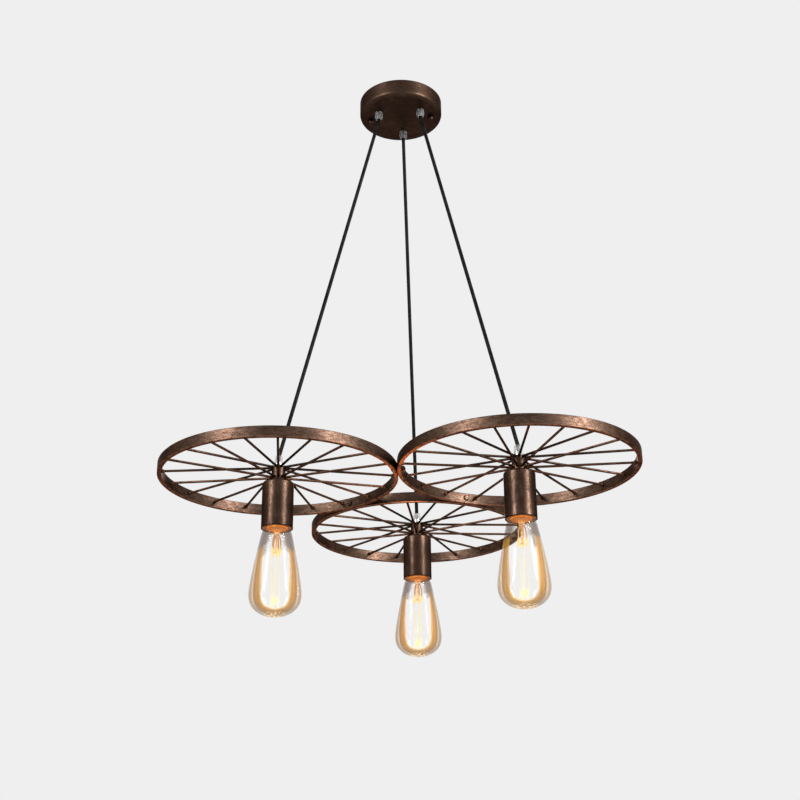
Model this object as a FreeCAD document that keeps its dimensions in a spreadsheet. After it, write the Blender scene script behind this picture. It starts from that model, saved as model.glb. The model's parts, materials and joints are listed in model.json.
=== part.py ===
import FreeCAD, Part
import math
import os
import Sketcher

# Cluster pendant of three wagon wheels, millimetres, +Z up.
# The origin is the middle of the crossbar's top face, on the ceiling. Everything hangs below it.

SIZES = {
    # cluster layout
    "canopy_to_wheels": 580.0,      # canopy's underside to the wheels' middle plane
    "wheel_gap": 0.1,               # left between two neighbouring rims at their bolt
    # wheel
    "rim_radius": 150.0,
    "rim_thickness": 5.5,
    "rim_height": 14.0,
    "rim_bevel": 0.8,
    "spoke_radius": 1.55,
    "spokes_per_ring": 10,
    "spoke_rim_level": 1.2,         # where every spoke meets the rim, above the middle plane
    "upper_ring_level": 8.0,        # where every other spoke meets the hub
    "lower_ring_level": -4.6,
    "spoke_turn_left": 28.6,        # first lower spoke of each wheel, degrees from +X
    "spoke_turn_right": 6.6,
    "spoke_turn_back": 17.4,
    "hub_radius": 8.75,
    "hub_top": 9.5,
    "hub_height": 20.5,
    "hub_bevel": 0.7,
    # threaded nipple through hub, cover and lampholder
    "nipple_radius": 4.9,
    "nipple_bore": 3.7,
    "nipple_into_grip": 5.5,
    "nipple_into_holder": 9.0,
    "thread_clearance": 0.1,
    "nut_width": 14.0,
    "nut_height": 3.0,
    # clear cord grip
    "grip_radius": 5.6,
    "grip_height": 14.5,
    "grip_shoulder": 4.6,
    "grip_top_radius": 4.3,
    "mouth_radius": 3.7,
    "mouth_depth": 1.6,
    "throat_radius": 2.5,
    "grip_chamber": 3.5,
    "grip_screw_radius": 1.5,
    "grip_screw_length": 4.0,
    "grip_screw_inner": 2.7,        # the screw's tip, from the cord's centre line
    # cord and leads
    "cord_radius": 2.5,
    "lead_radius": 0.9,
    "lead_spacing": 2.4,
    "cord_end_gap": 1.1,            # from a cord's end to the leads that carry on from it
    # socket cover
    "cover_radius": 19.75,
    "cover_height": 60.0,
    "cover_wall": 1.0,
    "cover_round": 3.5,
    # lampholder
    "holder_gap": 0.5,              # between lampholder and cover wall
    "holder_below_nut": 0.3,
    "holder_shoulder": 9.0,
    "holder_boss_radius": 10.0,
    "holder_length": 55.4,
    "holder_bore": 14.0,
    "holder_floor_depth": 31.4,     # the floor's underside, above the mouth
    "holder_floor": 3.5,
    "holder_chamber_radius": 10.0,
    "holder_boss_length": 8.5,
    "shell_wall": 0.45,
    "shell_lip": 9.0,
    "shell_above_mouth": 6.0,
    "contact_radius": 4.0,
    "contact_tip_radius": 2.0,
    "contact_drop": 2.2,
    # bulb
    "bulb_seat_gap": 0.3,           # bulb's button below the centre contact
    "button_radius": 4.8,
    "button_height": 1.2,
    "insulator_radius": 6.9,
    "insulator_slope": 2.1,
    "insulator_height": 4.1,
    "cap_radius": 13.1,
    "cap_wall": 0.6,
    "cap_shoulder": 3.5,
    "cap_shoulder_radius": 11.4,
    "cap_top_drop": 3.5,            # cap's top edge below the button's tip
    "cap_hole_clearance": 0.1,
    "cap_length": 20.5,
    "glass_wall": 0.9,
    "neck_radius": 12.2,
    "neck_into_cap": 8.0,
    "neck_out": 4.0,                # least straight neck below the cap
    "neck_below_mouth": 0.4,        # least straight neck below the lampholder's mouth
    "flare_radius": 18.0,
    "flare_drop": 3.0,
    "bulb_radius": 32.0,
    "bulb_widest_depth": 112.0,     # widest section below the button's tip
    "bulb_depth": 138.4,            # round end below the button's tip
    "shoulder_rise": 16.0,
    "shoulder_arc": 80.0,
    "side_arc_share": 0.896,        # radius of the lower side's arc over the round end's depth
    "side_share": 0.81,             # height of that arc over its radius
    "tip_radius": 3.0,              # sealed tip of the glass
    "tip_drop": 1.2,
    "stem_flare_radius": 11.0,
    "stem_flare_drop": 9.0,
    "stem_radius": 3.6,
    "stem_press_drop": 36.0,        # end of the flattened press below the cap's top edge
    "stem_rod_radius": 1.7,
    "stem_end_drop": 58.0,
    "stem_button_radius": 2.8,
    "stem_button_height": 3.0,
    "filament_radius": 0.75,
    "filament_circle": 7.0,
    "filament_foot_circle": 5.6,
    "filament_top_drop": 52.0,
    "filament_bottom_drop": 119.0,
    "filament_strands": 4,
    "support_radius": 0.5,
    "support_clearance": 0.05,
    "support_seat": 1.0,            # where a support wire leaves the stem, below its press
    "foot_ring_height": 1.2,
    # bolts that join the rims
    "bolt_radius": 2.0,
    "bolt_hole_clearance": 0.1,
    "bolt_head_radius": 3.8,
    "bolt_crown_radius": 2.3,
    "bolt_head_height": 2.3,
    "bolt_seat_gap": 0.06,
    "bolt_nut_width": 7.0,
    "bolt_nut_height": 3.2,
    "bolt_overhang": 1.0,
    # canopy
    "canopy_radius": 60.0,
    "canopy_height": 25.0,
    "canopy_wall": 1.2,
    "canopy_round": 6.0,
    "outlet_circle": 35.0,
    "canopy_grip_height": 12.0,
    "stem_above_floor": 6.0,
    "crossbar_length": 104.0,
    "crossbar_width": 18.0,
    "crossbar_thickness": 1.5,
    "slot_spacing": 50.0,
    "slot_length": 14.0,
    "slot_width": 4.5,
    "canopy_screw_spacing": 88.0,
    "canopy_screw_radius": 2.0,
    "ball_radius": 4.5,
    "ball_cut_angle": 45.0,         # latitude of the ball's flat top
    "terminal_length": 72.0,
    "terminal_width": 16.0,
    "terminal_height": 15.0,
    "terminal_screw_radius": 2.2,
    "terminal_pitch": 10.0,
    "terminal_ways": 6,
    "cut_overrun": 1.0,
    "tail_radius": 1.8,
    "tail_bend": 6.0,
}

WHEELS = ("left", "right", "back")
# The rims touch each other, so the wheels are a third of a turn apart, the back one on +Y.
AZIMUTH = {wheel: (90.0 + 360.0 / len(WHEELS) * turn) % 360.0
           for turn, wheel in enumerate(WHEELS, start=1)}
NEIGHBOURS = (("left", "right"), ("right", "back"), ("back", "left"))

doc = FreeCAD.newDocument("wagon_wheel_chandelier")
sheet = doc.addObject("Spreadsheet::Sheet", "Sizes")
for row, (alias, number) in enumerate(SIZES.items(), start=1):
    sheet.set("A%d" % row, alias)
    sheet.set("B%d" % row, repr(number))
    sheet.setAlias("B%d" % row, alias)
doc.recompute()

Vector = FreeCAD.Vector
UP = Vector(0, 0, 1)
sub_parts = []


class Size:
    """A length from the sheet, or sums of them: its number, and its text for setExpression."""

    def __init__(self, number, text):
        self.number = number
        self.text = text

    def __add__(self, other):
        other = as_size(other)
        return Size(self.number + other.number, "(%s + %s)" % (self.text, other.text))

    def __sub__(self, other):
        other = as_size(other)
        return Size(self.number - other.number, "(%s - %s)" % (self.text, other.text))

    def __mul__(self, other):
        other = as_size(other)
        return Size(self.number * other.number, "(%s * %s)" % (self.text, other.text))

    def __truediv__(self, other):
        other = as_size(other)
        return Size(self.number / other.number, "(%s / %s)" % (self.text, other.text))

    def __rsub__(self, other):
        return as_size(other) - self

    def __neg__(self):
        return Size(-self.number, "(-1 * %s)" % self.text)

    __radd__ = __add__
    __rmul__ = __mul__


def as_size(value):
    return value if isinstance(value, Size) else Size(value, repr(value))


def size(alias):
    return Size(float(sheet.get(alias)), "Sizes." + alias)


def root(value):
    return Size(math.sqrt(value.number), "sqrt(%s)" % value.text)


def lower(one, other):
    return Size(min(one.number, other.number), "min(%s; %s)" % (one.text, other.text))


def bind(thing, prop, value):
    thing.setExpression(prop, as_size(value).text)


def place(thing, x=0.0, y=0.0, z=0.0, rotation=None):
    turn = rotation or FreeCAD.Rotation()
    thing.Placement = FreeCAD.Placement(Vector(x, y, z), turn)
    return thing


def keep(thing, name):
    """Marks a finished sub-part. Its Label names its file."""
    thing.Label = name
    sub_parts.append(thing)
    return thing


# ---- building blocks ------------------------------------------------------------------------

def origin_plane(body, role):
    return [(item, "") for item in body.Origin.OriginFeatures if item.Role == role]


def closed_outline(sketch, corners):
    """Draws a closed outline of (x, z) or (x, z, radius, bulge) corners, each bound to the sheet.
    A corner with a radius is reached by an arc. bulge is +1 where the arc turns to the left."""
    count = len(corners)
    points = [Vector(as_size(c[0]).number, as_size(c[1]).number, 0) for c in corners]
    for i, start in enumerate(points):
        end, corner = points[(i + 1) % count], corners[(i + 1) % count]
        if len(corner) > 2:
            sketch.addGeometry(arc_between(start, end, corner[2].number, corner[3]), False)
        else:
            sketch.addGeometry(Part.LineSegment(start, end), False)

    def ends(i):
        turned = len(corners[(i + 1) % count]) > 2 and corners[(i + 1) % count][3] < 0
        return (2, 1) if turned else (1, 2)

    for i in range(count):
        after = (i + 1) % count
        sketch.addConstraint(Sketcher.Constraint("Coincident", i, ends(i)[1], after, ends(after)[0]))
    for i, corner in enumerate(corners):
        for axis, kind, line in ((0, "DistanceX", -2), (1, "DistanceY", -1)):
            value = as_size(corner[axis])
            if value.text in ("0", "0.0"):
                sketch.addConstraint(Sketcher.Constraint("PointOnObject", i, ends(i)[0], line))
                continue
            index = sketch.addConstraint(Sketcher.Constraint(kind, i, ends(i)[0], value.number))
            bind(sketch, "Constraints[%d]" % index, value)
        if len(corner) > 2:
            before = (i - 1) % count
            index = sketch.addConstraint(Sketcher.Constraint("Radius", before, corner[2].number))
            bind(sketch, "Constraints[%d]" % index, corner[2])


def arc_between(start, end, radius, bulge):
    """The shorter arc from start to end."""
    chord = end - start
    middle = (start + end) * 0.5
    left = Vector(-chord.y, chord.x, 0).normalize()
    centre = middle + left * bulge * math.sqrt(radius ** 2 - (chord.Length / 2) ** 2)
    circle = Part.Circle(centre, UP, radius)
    first, last = (start, end) if bulge > 0 else (end, start)
    return Part.ArcOfCircle(circle, circle.parameter(first), circle.parameter(last))


def turned_body(name, corners):
    """A body turned about its Z axis from an outline in its XZ plane."""
    body = doc.addObject("PartDesign::Body", name)
    sketch = body.newObject("Sketcher::SketchObject", name + "_outline")
    sketch.AttachmentSupport = origin_plane(body, "XZ_Plane")
    sketch.MapMode = "FlatFace"
    closed_outline(sketch, corners)
    turning = body.newObject("PartDesign::Revolution", name + "_turning")
    turning.Profile = sketch
    turning.ReferenceAxis = (sketch, ["V_Axis"])
    turning.Angle = 360.0
    body.Tip = turning
    doc.recompute()
    return body


def tube_corners(inner, outer, low, high):
    return [(inner, low), (outer, low), (outer, high), (inner, high)]


def drill(body, name, radius, length, position, direction=UP):
    """A round hole through a body. Its radius and length are bound to the sheet."""
    before = body.Shape.Volume
    hole = body.newObject("PartDesign::SubtractiveCylinder", name)
    bind(hole, "Radius", radius)
    bind(hole, "Height", length)
    hole.AttachmentSupport = origin_plane(body, "XY_Plane")
    hole.MapMode = "FlatFace"
    hole.AttachmentOffset = FreeCAD.Placement(position, FreeCAD.Rotation(UP, direction))
    body.Tip = hole
    doc.recompute()
    if body.Shape.Volume >= before:
        raise RuntimeError(name + " cuts nothing")
    return hole


def repeat_round(body, feature, name, copies):
    """Repeats a feature round the body's Z axis."""
    pattern = body.newObject("PartDesign::PolarPattern", name)
    pattern.Originals = [feature]
    pattern.Axis = ([item for item in body.Origin.OriginFeatures if item.Role == "Z_Axis"][0], [""])
    pattern.Angle = 360.0
    bind(pattern, "Occurrences", copies)
    body.Tip = pattern
    doc.recompute()
    return pattern


def rod(name, radius, length, position, direction=UP):
    """A plain round rod that starts at position and runs along direction."""
    thing = doc.addObject("Part::Cylinder", name)
    bind(thing, "Radius", radius)
    bind(thing, "Height", length)
    return place(thing, position.x, position.y, position.z, FreeCAD.Rotation(UP, direction))


def rod_between(name, radius, start, end):
    thing = doc.addObject("Part::Cylinder", name)
    bind(thing, "Radius", radius)
    thing.Height = (end - start).Length
    return place(thing, start.x, start.y, start.z, FreeCAD.Rotation(UP, end - start))


def hex_nut(name, width, height, bore, position, direction=UP):
    """A hexagon nut, width across its flats, with a plain bore."""
    blank = doc.addObject("Part::Prism", name + "_blank")
    blank.Polygon = 6
    bind(blank, "Circumradius", width / 2 * (2 / math.sqrt(3)))
    bind(blank, "Height", height)
    hole = doc.addObject("Part::Cylinder", name + "_hole")
    bind(hole, "Radius", bore)
    bind(hole, "Height", height)
    nut = doc.addObject("Part::Cut", name)
    nut.Base, nut.Tool = blank, hole
    return place(nut, position.x, position.y, position.z, FreeCAD.Rotation(UP, direction))


def joined(name, pieces):
    thing = doc.addObject("Part::MultiFuse", name)
    thing.Shapes = pieces
    return thing


def cut(name, base, tools):
    thing = doc.addObject("Part::Cut", name)
    thing.Base = base
    thing.Tool = tools[0] if len(tools) == 1 else joined(name + "_tools", tools)
    return thing


def group(name, pieces):
    """One node that holds several alike solids, kept separate."""
    thing = doc.addObject("Part::Compound", name)
    thing.Links = pieces
    return keep(thing, name)


# ---- levels, all from the wheels' middle plane unless they say otherwise ----------------------

canopy_floor = -size("canopy_height")
wheel_level = canopy_floor - size("canopy_to_wheels")
hub_bottom = size("hub_top") - size("hub_height")
cover_top = hub_bottom
cover_bottom = cover_top - size("cover_height")
nut_top = cover_top - size("cover_wall")
nut_bottom = nut_top - size("nut_height")
holder_top = nut_bottom - size("holder_below_nut")
holder_mouth = holder_top - size("holder_length")
holder_floor_low = holder_mouth + size("holder_floor_depth")
holder_floor_high = holder_floor_low + size("holder_floor")
nipple_low = holder_top - size("holder_boss_length")
grip_mouth = size("hub_top") + size("grip_height")
bulb_tip = holder_floor_low - size("contact_drop") - size("bulb_seat_gap")
cap_top = bulb_tip - size("cap_top_drop")
cap_low = cap_top - size("cap_length")
neck_end = lower(cap_low - size("neck_out"), holder_mouth - size("neck_below_mouth"))
lowest_glass = bulb_tip - size("bulb_depth")
rim_inner = size("rim_radius") - size("rim_thickness")
canopy_mouth = canopy_floor - size("canopy_grip_height")

wheel_circle = (size("rim_radius") + size("wheel_gap") / 2) * (2 / math.sqrt(3))


def wheel_centre(wheel):
    angle = math.radians(AZIMUTH[wheel])
    reach = wheel_circle.number
    return Vector(reach * math.cos(angle), reach * math.sin(angle), wheel_level.number)


def outlet(wheel, level):
    angle = math.radians(AZIMUTH[wheel])
    reach = size("outlet_circle").number
    return Vector(reach * math.cos(angle), reach * math.sin(angle), as_size(level).number)


def at_wheel(thing, wheel, turn=0.0):
    centre = wheel_centre(wheel)
    return place(thing, centre.x, centre.y, centre.z, FreeCAD.Rotation(UP, turn))


def heading(start, end):
    """Unit vector in plan from one point to another, and its angle from +X in degrees."""
    along = Vector(end.x - start.x, end.y - start.y, 0).normalize()
    return along, math.degrees(math.atan2(along.y, along.x))


# ---- wheel ------------------------------------------------------------------------------------

def rim(wheel):
    half, bevel = size("rim_height") / 2, size("rim_bevel")
    outer = size("rim_radius")
    body = turned_body("rim_" + wheel, [
        (rim_inner, bevel - half),
        (rim_inner + bevel, -half),
        (outer - bevel, -half),
        (outer, bevel - half),
        (outer, half - bevel),
        (outer - bevel, half),
        (rim_inner + bevel, half),
        (rim_inner, half - bevel),
    ])
    for other in WHEELS:
        if other != wheel:
            along, angle = heading(wheel_centre(wheel), wheel_centre(other))
            drill(body, "bolt_hole_%s_%s" % (wheel, other),
                  size("bolt_radius") + size("bolt_hole_clearance"), size("rim_thickness") * 3,
                  along * (rim_inner.number - size("rim_thickness").number), along)
    return keep(at_wheel(body, wheel), "rim_" + wheel)


def spoke_ring(wheel, ring, hub_level, turn):
    """Ten straight spokes from one level of the hub out to the rim, trimmed to both."""
    name = "%s_spokes_%s" % (ring, wheel)
    body = doc.addObject("PartDesign::Body", name)
    body.AllowCompound = True
    foot = Vector(size("hub_radius").number, 0, hub_level.number)
    tip = Vector(rim_inner.number, 0, size("spoke_rim_level").number)
    along = (tip - foot).normalize()
    spare = size("spoke_radius") * 2
    spoke = body.newObject("PartDesign::AdditiveCylinder", name + "_spoke")
    bind(spoke, "Radius", size("spoke_radius"))
    bind(spoke, "Height", rim_inner - size("hub_radius") + spare * 2)
    spoke.AttachmentSupport = origin_plane(body, "XY_Plane")
    spoke.MapMode = "FlatFace"
    spoke.AttachmentOffset = FreeCAD.Placement(foot - along * spare.number,
                                               FreeCAD.Rotation(UP, along))
    body.Tip = spoke
    doc.recompute()
    repeat_round(body, spoke, name + "_round", size("spokes_per_ring"))
    drill(body, name + "_hub_trim", size("hub_radius"), size("hub_height") * 2,
          Vector(0, 0, -size("hub_height").number))
    sketch = body.newObject("Sketcher::SketchObject", name + "_rim_outline")
    sketch.AttachmentSupport = origin_plane(body, "XZ_Plane")
    sketch.MapMode = "FlatFace"
    closed_outline(sketch, tube_corners(rim_inner, rim_inner + size("rim_thickness") * 4,
                                        -size("rim_height"), size("rim_height")))
    before = body.Shape.Volume
    trim = body.newObject("PartDesign::Groove", name + "_rim_trim")
    trim.Profile = sketch
    trim.ReferenceAxis = (sketch, ["V_Axis"])
    trim.Angle = 360.0
    body.Tip = trim
    doc.recompute()
    if body.Shape.Volume >= before:
        raise RuntimeError(name + " is not trimmed at the rim")
    return keep(at_wheel(body, wheel, turn), name)


def hub(wheel):
    outer, bevel = size("hub_radius"), size("hub_bevel")
    bore = size("nipple_radius") + size("thread_clearance")
    body = turned_body("hub_" + wheel, [
        (bore, hub_bottom),
        (outer, hub_bottom),
        (outer, size("hub_top") - bevel),
        (outer - bevel, size("hub_top")),
        (bore, size("hub_top")),
    ])
    return keep(at_wheel(body, wheel), "hub_" + wheel)


def nipple(wheel):
    body = turned_body("nipple_" + wheel, tube_corners(
        size("nipple_bore"), size("nipple_radius"), nipple_low,
        size("hub_top") + size("nipple_into_grip")))
    return keep(at_wheel(body, wheel), "nipple_" + wheel)


def cord_grip(wheel):
    """Clear grip on the nipple's top end, with a flared mouth for the cord."""
    bore = size("nipple_radius") + size("thread_clearance")
    chamber = size("grip_chamber")
    thread_end = size("hub_top") + size("nipple_into_grip") + size("thread_clearance")
    body = turned_body("cord_grip_" + wheel, [
        (bore, size("hub_top")),
        (size("grip_radius"), size("hub_top")),
        (size("grip_radius"), grip_mouth - size("grip_shoulder")),
        (size("grip_top_radius"), grip_mouth),
        (size("mouth_radius"), grip_mouth),
        (size("throat_radius"), grip_mouth - size("mouth_depth")),
        (chamber, grip_mouth - size("mouth_depth") - chamber + size("throat_radius")),
        (chamber, thread_end),
        (bore, thread_end),
    ])
    drill(body, "side_hole_" + wheel, size("grip_screw_radius") + size("thread_clearance"),
          size("grip_radius") + size("grip_screw_length"), Vector(0, 0, grip_screw_level.number),
          Vector(0, 1, 0))
    return keep(at_wheel(body, wheel), "cord_grip_" + wheel)


grip_screw_level = size("hub_top") + size("grip_height") / 2


def grip_screw(wheel):
    centre = wheel_centre(wheel)
    start = centre + Vector(0, size("grip_screw_inner").number, grip_screw_level.number)
    return rod("grip_screw_" + wheel, size("grip_screw_radius"), size("grip_screw_length"),
               start, Vector(0, 1, 0))


def socket_cover(wheel):
    outer, wall, bend = size("cover_radius"), size("cover_wall"), size("cover_round")
    bore = size("nipple_radius") + size("thread_clearance")
    body = turned_body("socket_cover_" + wheel, [
        (bore, cover_top - wall),
        (outer - bend, cover_top - wall),
        (outer - wall, cover_top - bend, bend - wall, -1),
        (outer - wall, cover_bottom),
        (outer, cover_bottom),
        (outer, cover_top - bend),
        (outer - bend, cover_top, bend, 1),
        (bore, cover_top),
    ])
    return keep(at_wheel(body, wheel), "socket_cover_" + wheel)


def nipple_nut(wheel):
    centre = wheel_centre(wheel)
    return hex_nut("nipple_nut_" + wheel, size("nut_width"), size("nut_height"),
                   size("nipple_radius") + size("thread_clearance"),
                   centre + Vector(0, 0, nut_bottom.number))


# ---- lampholder -------------------------------------------------------------------------------

def lampholder(wheel):
    outer = size("cover_radius") - size("cover_wall") - size("holder_gap")
    bore = size("nipple_radius") + size("thread_clearance")
    chamber = size("holder_chamber_radius")
    boss_low = holder_top - size("holder_boss_length")
    body = turned_body("lampholder_" + wheel, [
        (0, holder_floor_low),
        (size("holder_bore"), holder_floor_low),
        (size("holder_bore"), holder_mouth),
        (outer, holder_mouth),
        (outer, holder_top - size("holder_shoulder")),
        (size("holder_boss_radius"), holder_top),
        (bore, holder_top),
        (bore, boss_low),
        (chamber, boss_low),
        (chamber, holder_floor_high),
        (0, holder_floor_high),
    ])
    return keep(at_wheel(body, wheel), "lampholder_" + wheel)


def screw_shell(wheel):
    outer = size("holder_bore")
    inner = outer - size("shell_wall")
    body = turned_body("screw_shell_" + wheel, [
        (inner, holder_mouth + size("shell_above_mouth")),
        (outer, holder_mouth + size("shell_above_mouth")),
        (outer, holder_floor_low),
        (size("shell_lip"), holder_floor_low),
        (size("shell_lip"), holder_floor_low - size("shell_wall")),
        (inner, holder_floor_low - size("shell_wall")),
    ])
    return keep(at_wheel(body, wheel), "screw_shell_" + wheel)


def centre_contact(wheel):
    low = holder_floor_low - size("contact_drop")
    body = turned_body("centre_contact_" + wheel, [
        (0, low),
        (size("contact_tip_radius"), low),
        (size("contact_radius"), holder_floor_low - size("shell_wall")),
        (size("contact_radius"), holder_floor_low),
        (0, holder_floor_low),
    ])
    return keep(at_wheel(body, wheel), "centre_contact_" + wheel)


def lamp_leads(wheel):
    """Two insulated leads from the cord's end down through the nipple to the lampholder."""
    centre = wheel_centre(wheel)
    low = (holder_floor_high).number
    high = (grip_mouth - size("cord_end_gap")).number
    pair = []
    for side in (-1, 1):
        across = side * size("lead_spacing").number / 2
        pair.append(rod_between("lead_%s_%d" % (wheel, side + 1), size("lead_radius"),
                                centre + Vector(across, 0, low), centre + Vector(across, 0, high)))
    return pair


# ---- bulb -------------------------------------------------------------------------------------

def bulb_contact(wheel):
    """The bulb's end button on its black insulator."""
    insulator = size("insulator_radius")
    body = turned_body("bulb_contact_" + wheel, [
        (0, bulb_tip - size("insulator_height")),
        (insulator, bulb_tip - size("insulator_height")),
        (insulator, bulb_tip - size("button_height") - size("insulator_slope")),
        (size("button_radius"), bulb_tip - size("button_height")),
        (size("button_radius"), bulb_tip),
        (0, bulb_tip),
    ])
    return keep(at_wheel(body, wheel), "bulb_contact_" + wheel)


def bulb_cap(wheel):
    """Screw cap, smooth here: its thread is left to the finish."""
    outer, wall = size("cap_radius"), size("cap_wall")
    hole = size("insulator_radius") + size("cap_hole_clearance")
    body = turned_body("bulb_cap_" + wheel, [
        (outer - wall, cap_low),
        (outer, cap_low),
        (outer, cap_top - size("cap_shoulder")),
        (size("cap_shoulder_radius"), cap_top - size("cap_shoulder") / 2),
        (hole, cap_top),
        (hole, cap_top - wall),
        (size("cap_shoulder_radius") - wall, cap_top - size("cap_shoulder") / 2 - wall),
        (outer - wall, cap_top - size("cap_shoulder") - wall),
    ])
    return keep(at_wheel(body, wheel), "bulb_cap_" + wheel)


def glass_side(inset):
    """Half outline of the glass from its neck down to its lowest point, inset by the wall."""
    widest = bulb_tip - size("bulb_widest_depth")
    reach = size("bulb_radius") - inset
    shoulder_arc = size("shoulder_arc") - inset
    side_arc = (size("bulb_depth") - size("bulb_widest_depth")) * size("side_arc_share") - inset
    rise = size("shoulder_rise")
    shoulder = reach - shoulder_arc + root(shoulder_arc * shoulder_arc - rise * rise)
    drop = side_arc * size("side_share")
    side_centre = reach - side_arc
    belly = side_centre + root(side_arc * side_arc - drop * drop)
    bottom = lowest_glass + inset
    depth = widest - drop - bottom
    bottom_arc = (belly * belly + depth * depth) / (depth * 2)
    neck = size("neck_radius") - inset
    flare_width, flare_drop = size("flare_radius") - size("neck_radius"), size("flare_drop")
    flare_slant = root(flare_width * flare_width + flare_drop * flare_drop)
    flare_start = neck_end - inset * (flare_slant - flare_drop) / flare_width
    return [
        (neck, cap_low + size("neck_into_cap")),
        (neck, flare_start),
        (neck + flare_width, flare_start - flare_drop),
        (shoulder, widest + rise),
        (reach, widest, shoulder_arc, -1),
        (belly, widest - drop, side_arc, -1),
        (0, bottom, bottom_arc, -1),
    ]


def sealed_tip(side):
    """Ends the outside of the glass in its small sealed tip."""
    bottom, arc, bulge = side[-1][1:]
    tip, drop = size("tip_radius"), size("tip_drop")
    rise = arc - root(arc * arc - tip * tip)
    tall = rise + drop
    tip_arc = (tip * tip + tall * tall) / (tall * 2)
    return side[:-1] + [(tip, bottom + rise, arc, bulge), (0, bottom - drop, tip_arc, bulge)]


def bulb_glass(wheel):
    outside = sealed_tip(glass_side(as_size(0.0)))
    inside = glass_side(size("glass_wall"))
    back = []
    for i in range(len(inside) - 1, -1, -1):
        corner = inside[i][:2]
        after = inside[i + 1] if i + 1 < len(inside) else corner
        back.append(corner + (after[2], 1) if len(after) > 2 else corner)
    body = turned_body("bulb_glass_" + wheel, outside + back)
    return keep(at_wheel(body, wheel), "bulb_glass_" + wheel)


def bulb_stem(wheel):
    """Flared glass stem, sealed inside the neck, with the rod that carries the filament."""
    flare_low = cap_low - size("stem_flare_drop")
    press_low = cap_top - size("stem_press_drop")
    end = cap_top - size("stem_end_drop")
    button = size("stem_button_height")
    flare = size("neck_radius") - size("glass_wall")
    body = turned_body("bulb_stem_" + wheel, [
        (0, end),
        (size("stem_button_radius"), end + button / 3),
        (size("stem_button_radius"), end + button * 2 / 3),
        (size("stem_rod_radius"), end + button),
        (size("stem_rod_radius"), press_low),
        (size("stem_radius"), press_low + button),
        (size("stem_radius"), flare_low),
        (flare, cap_low),
        (flare, cap_low + size("neck_into_cap") / 2),
        (0, cap_low + size("neck_into_cap") / 2),
    ])
    return keep(at_wheel(body, wheel), "bulb_stem_" + wheel)


def bulb_filament(wheel):
    """Strands that spread from the stem's press and meet at a small foot near the tip."""
    press = cap_top.number - size("stem_press_drop").number
    top = cap_top.number - size("filament_top_drop").number
    low = cap_top.number - size("filament_bottom_drop").number
    strands = int(size("filament_strands").number)
    wide, narrow = size("filament_circle").number, size("filament_foot_circle").number
    start = (size("stem_rod_radius") + size("support_radius") + size("support_clearance")).number
    seat = press - size("support_seat").number
    foot_high = low + size("foot_ring_height").number
    pieces = []
    for i in range(strands):
        angle = 2 * math.pi * (i + 0.5) / strands
        across = Vector(math.cos(angle), math.sin(angle), 0)
        name = "filament_%s_%d" % (wheel, i)
        shoulder = across * wide + Vector(0, 0, top)
        pieces.append(rod_between(name + "_lead", size("support_radius"),
                                  across * start + Vector(0, 0, seat), shoulder))
        pieces.append(rod_between(name + "_strand", size("filament_radius"),
                                  shoulder, across * narrow + Vector(0, 0, low)))
    end = cap_top.number - size("stem_end_drop").number
    pieces.append(rod_between("filament_%s_support" % wheel, size("support_radius"),
                              Vector(0, 0, end), Vector(0, 0, low)))
    foot = doc.addObject("Part::Cylinder", "filament_%s_foot" % wheel)
    bind(foot, "Radius", size("filament_foot_circle") + size("filament_radius"))
    bind(foot, "Height", size("foot_ring_height"))
    pieces.append(place(foot, z=low - (foot_high - low) / 2))
    thing = joined("bulb_filament_" + wheel, pieces)
    return keep(at_wheel(thing, wheel), "bulb_filament_" + wheel)


# ---- cords ------------------------------------------------------------------------------------

def cord(wheel):
    """Taut cord, one straight run from the canopy grip's mouth to the wheel grip's mouth."""
    start = outlet(wheel, canopy_mouth)
    end = wheel_centre(wheel) + Vector(0, 0, grip_mouth.number)
    route = Part.Wire([Part.LineSegment(start, end).toShape()])
    along = (end - start).normalize()
    radius = size("cord_radius").number
    section = Part.Wire([Part.Circle(start, along, radius).toShape()])
    tube = route.makePipeShell([section], True, False)
    due = math.pi * radius ** 2 * route.Length
    print("cord_%s: one straight run of %.1f mm, no arcs, volume %.1f of %.1f mm3"
          % (wheel, route.Length, tube.Volume, due))
    thing = doc.addObject("Part::Feature", "cord_" + wheel)
    thing.Shape = tube
    return keep(thing, "cord_" + wheel)


# ---- bolts between the rims -------------------------------------------------------------------

def rim_bolt(first, second):
    """Button-head bolt from inside one rim, out through it and into the next."""
    start, end = wheel_centre(first), wheel_centre(second)
    along, angle = heading(start, end)
    seat = rim_inner - size("bolt_seat_gap")
    grip = (size("rim_thickness") + size("bolt_seat_gap")) * 2 + size("wheel_gap")
    length = grip + size("bolt_nut_height") + size("bolt_overhang")
    name = "rim_bolt_%s_%s" % (first, second)
    foot = start + along * seat.number
    shank = rod(name + "_shank", size("bolt_radius"), length, foot, along)
    head = doc.addObject("Part::Cone", name + "_head")
    bind(head, "Radius1", size("bolt_head_radius"))
    bind(head, "Radius2", size("bolt_crown_radius"))
    bind(head, "Height", size("bolt_head_height"))
    place(head, foot.x, foot.y, foot.z, FreeCAD.Rotation(UP, -along))
    bolt = joined(name, [shank, head])
    nut = hex_nut("rim_nut_%s_%s" % (first, second), size("bolt_nut_width"),
                  size("bolt_nut_height"), size("bolt_radius") + size("bolt_hole_clearance"),
                  foot + along * grip.number, along)
    return bolt, nut


# ---- canopy -----------------------------------------------------------------------------------

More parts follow.
